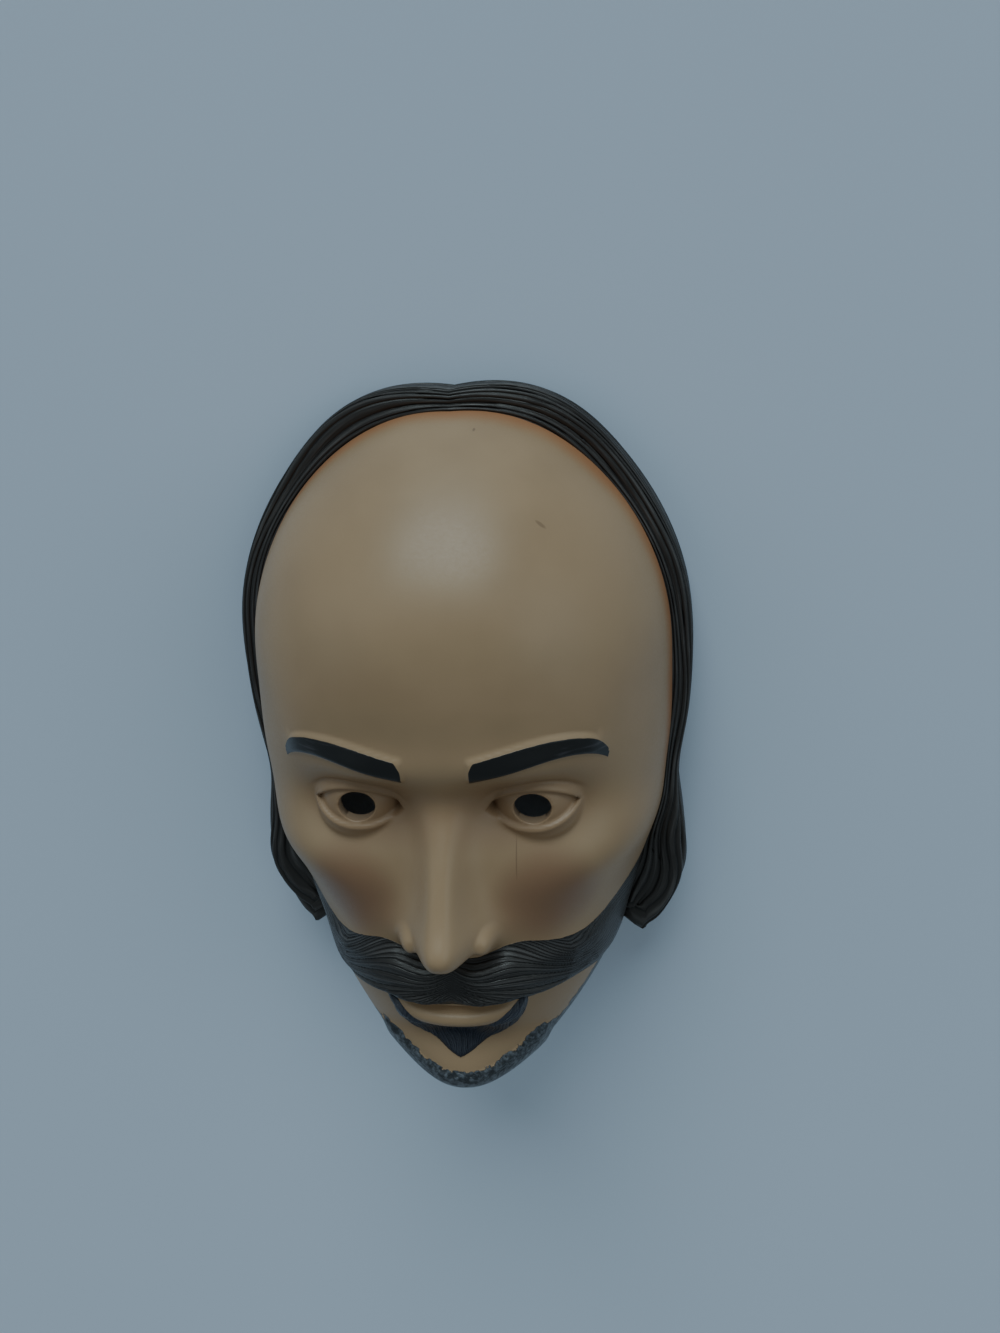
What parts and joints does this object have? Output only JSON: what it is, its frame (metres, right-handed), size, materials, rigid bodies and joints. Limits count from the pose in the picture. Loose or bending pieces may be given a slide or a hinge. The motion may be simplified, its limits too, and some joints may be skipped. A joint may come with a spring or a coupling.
{
  "type": "bearded man mask",
  "caption": "Full-face moulded costume mask of a man with combed-back dark hair, a wide moustache, a chin tuft and a thin jaw beard; pierced pupils and an open hollow back.",
  "frame": {"origin": "centre of the footprint, on the plane of the back rim", "axes": "+Z out of the face, +Y up the face from the chin to the crown, +X to the viewer's right when looking at the face. The mask lies on its back rim, face up."},
  "size_m": [0.202, 0.2986, 0.1272],
  "materials": {
    "painted_shell": "moulded plastic shell with satin tan skin paint, black and charcoal painted hair, brows, moustache and beard, and a rosy tint on the cheeks"
  },
  "bodies": {
    "root": {"mask": "painted_shell"}
  },
  "joints": []
}
